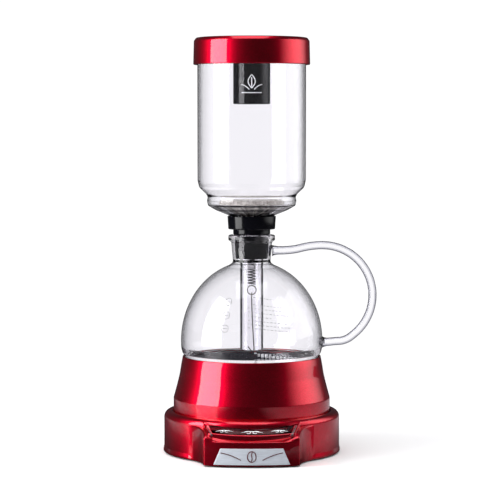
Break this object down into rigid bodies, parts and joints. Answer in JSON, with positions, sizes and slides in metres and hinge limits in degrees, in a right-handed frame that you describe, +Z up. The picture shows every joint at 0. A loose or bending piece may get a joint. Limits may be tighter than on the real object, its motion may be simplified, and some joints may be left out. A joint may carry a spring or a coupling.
{
  "type": "siphon coffee maker",
  "caption": "Electric siphon coffee maker: round power base with a control nose, lift-off glass jug with a rod handle, and a lidded glass brewing chamber whose stem stands in the jug.",
  "frame": {"origin": "on the jug's axis, in the plane that the base stands on", "axes": "+Z up along the jug's axis; -Y towards the front, where the control panel is; +X towards the jug's handle"},
  "size_m": [0.1766, 0.162, 0.3423],
  "materials": {
    "red_plastic": "candy red metallic lacquer, glossy",
    "red_steel": "candy red metallic lacquer, glossy",
    "black_plastic": "fine grain moulding",
    "gloss_black": "polished",
    "black_rubber": "moulded, slight sheen",
    "clear_glass": "clear blown borosilicate",
    "bright_steel": "polished stainless steel",
    "satin_steel": "fine brushed",
    "brass": "plain",
    "flannel": "napped cotton flannel",
    "silicone": "translucent",
    "circuit_board": "lacquered",
    "panel_window": "smoked, glossy, with silver printed ornament"
  },
  "bodies": {
    "power_base": {"base_housing": "red_plastic", "base_cover": "black_plastic", "control_window": "panel_window", "window_trim_left": "bright_steel", "window_trim_right": "bright_steel", "front_badge": "satin_steel", "control_board": "circuit_board", "coupler_socket": "black_plastic", "inlet_housing": "black_plastic", "inlet_pin_live": "brass", "inlet_pin_neutral": "brass", "inlet_pin_earth": "brass", "foot_1": "black_rubber", "foot_2": "black_rubber", "foot_3": "black_rubber", "foot_4": "black_rubber", "base_screw_1": "satin_steel", "base_screw_2": "satin_steel", "base_screw_3": "satin_steel", "base_screw_4": "satin_steel"},
    "jug": {"flask_glass": "clear_glass", "flask_handle": "clear_glass", "flask_seal": "silicone", "heating_plate": "bright_steel", "heating_element": "satin_steel", "clamp_ring": "black_plastic", "thermostat": "black_plastic", "thermal_cutout": "black_plastic", "jacket": "red_steel", "jug_bottom": "black_plastic", "coupler_plug": "black_plastic", "coupler_earth_pin": "brass", "coupler_ring_contact": "brass", "element_lead_left": "silicone", "element_lead_right": "silicone", "jug_screw_1": "satin_steel", "jug_screw_2": "satin_steel", "jug_screw_3": "satin_steel"},
    "upper_chamber": {"upper_glass": "clear_glass", "siphon_stem": "clear_glass", "stopper": "black_rubber", "hook_wire": "bright_steel", "spring_ring": "bright_steel"},
    "filter_head": {"filter_disc": "satin_steel", "filter_cloth": "flannel", "filter_drawstring": "flannel", "filter_spring": "bright_steel"},
    "chain": {"boil_chain": "bright_steel"},
    "lid": {"lid_cap": "red_plastic", "lid_liner": "black_plastic", "lid_stand_tube": "gloss_black"}
  },
  "joints": [
    {"name": "jug_lift", "type": "slide", "parent": "power_base", "child": "jug", "axis": [0, 0, 1], "range_m": [0, 0.06]},
    {"name": "chamber_lift", "type": "slide", "parent": "jug", "child": "upper_chamber", "axis": [0, 0, 1], "range_m": [0, 0.11]},
    {"name": "lid_lift", "type": "slide", "parent": "upper_chamber", "child": "lid", "axis": [0, 0, 1], "range_m": [0, 0.06]},
    {"name": "filter_lift", "type": "slide", "parent": "upper_chamber", "child": "filter_head", "axis": [0, 0, 1], "range_m": [0, 0.008], "stiffness_N_per_m": 60, "springref_m": -0.02, "deforming": ["filter_spring"]},
    {"name": "chain_swing", "type": "hinge", "parent": "upper_chamber", "child": "chain", "pos_m": [0.0014, -0.0086, 0.083], "axis": [0.5139, 0.8578, 0], "range_deg": [0, 92]}
  ],
  "couplings": [
    {"joint": "chain_swing", "follows": "chamber_lift", "rad_per_m": 14.37}
  ]
}
